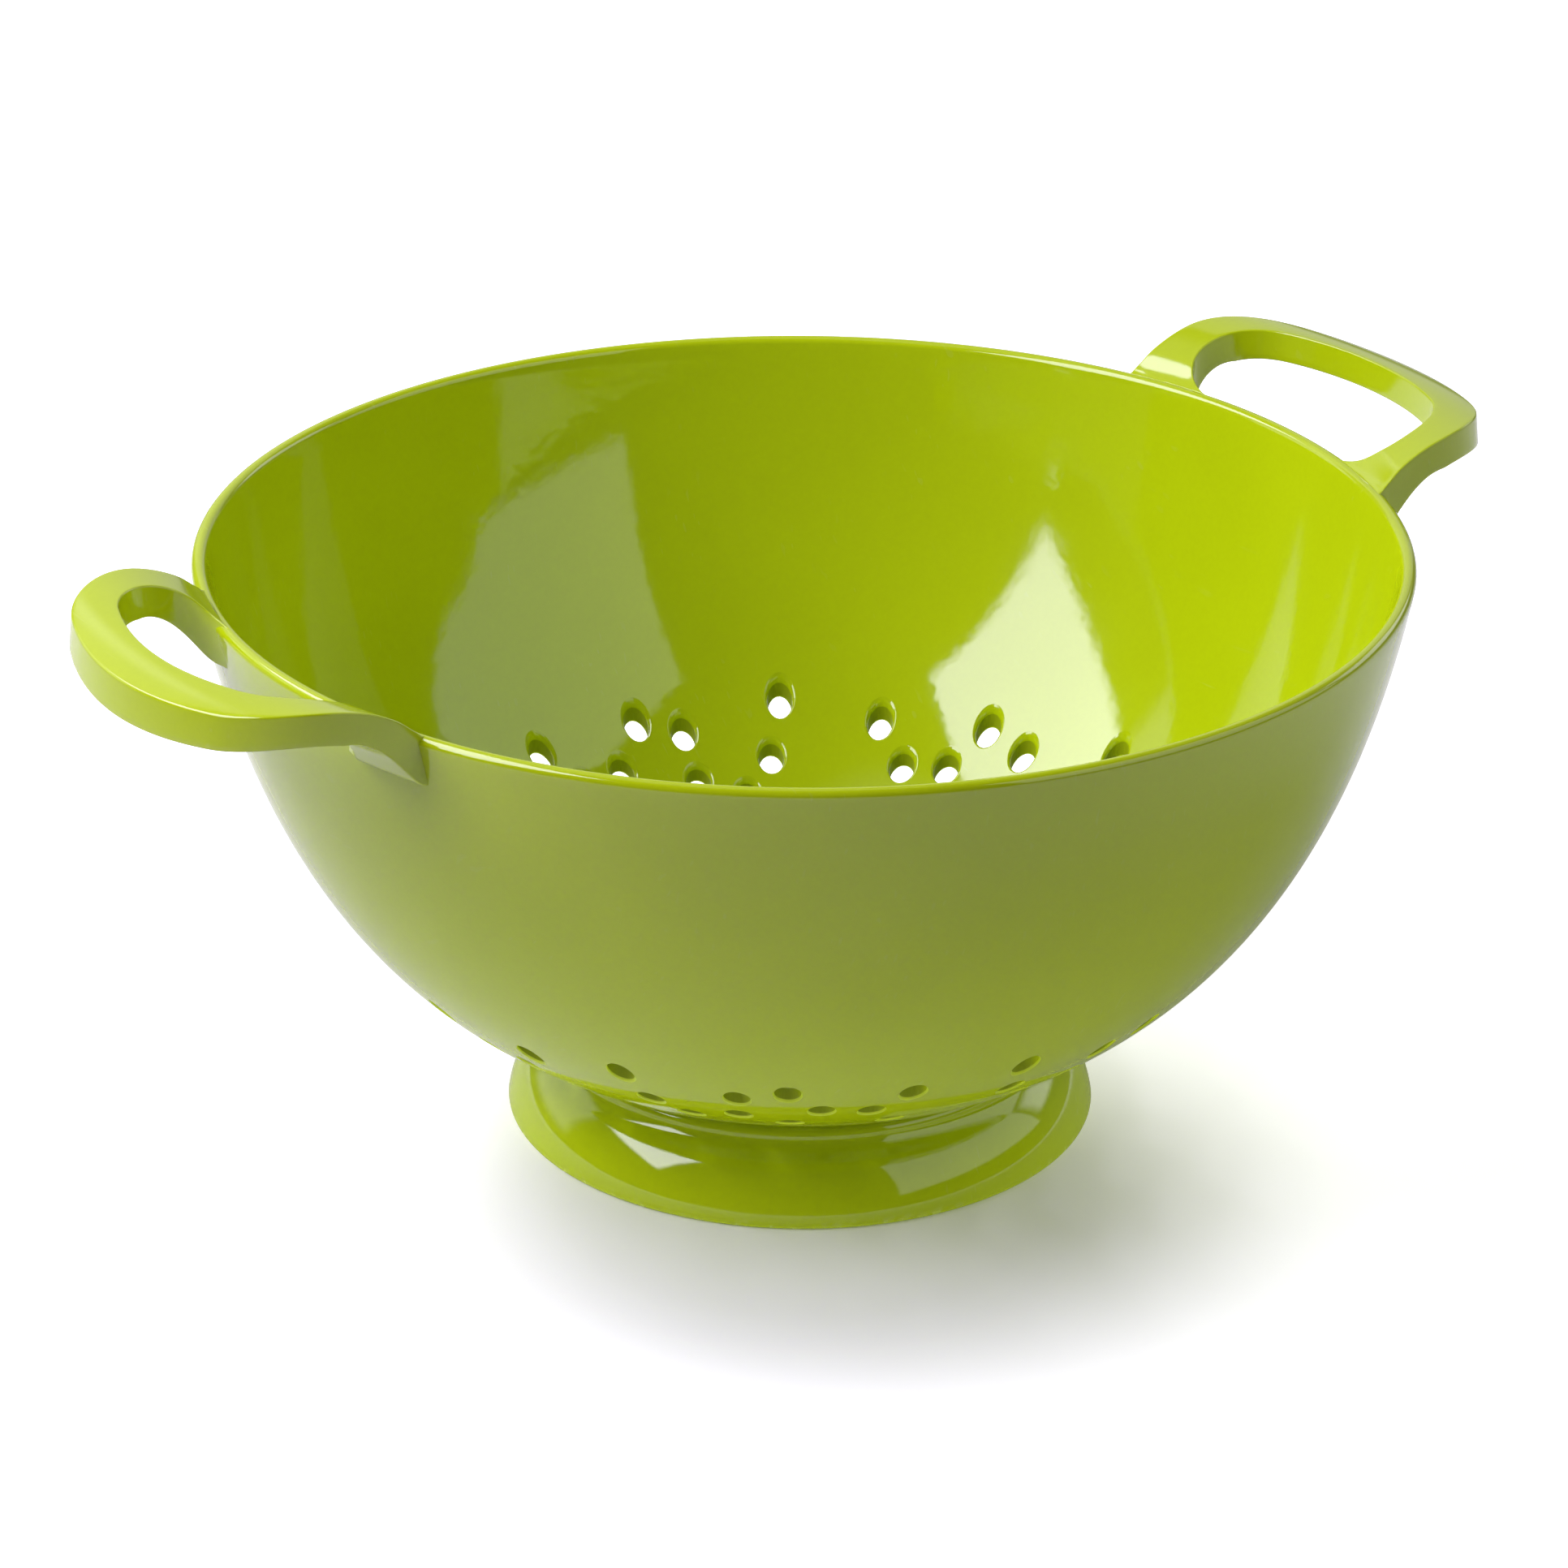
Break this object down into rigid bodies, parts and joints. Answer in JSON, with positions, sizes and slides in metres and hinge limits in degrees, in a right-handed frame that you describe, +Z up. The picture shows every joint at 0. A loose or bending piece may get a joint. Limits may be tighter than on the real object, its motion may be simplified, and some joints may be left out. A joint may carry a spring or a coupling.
{
  "type": "colander",
  "caption": "Footed round colander with a deep bowl, drain holes low in its wall, two arched loop handles and a flared foot.",
  "frame": {"origin": "centre of the foot, on the table", "axes": "+Z up along the bowl's axis, +X towards the right handle, so that the handles lie along X"},
  "size_m": [0.3056, 0.24, 0.1305],
  "materials": {
    "melamine": "high gloss lime green"
  },
  "bodies": {
    "root": {"bowl": "melamine", "foot_ring": "melamine", "handle_right": "melamine", "handle_left": "melamine"}
  },
  "joints": []
}
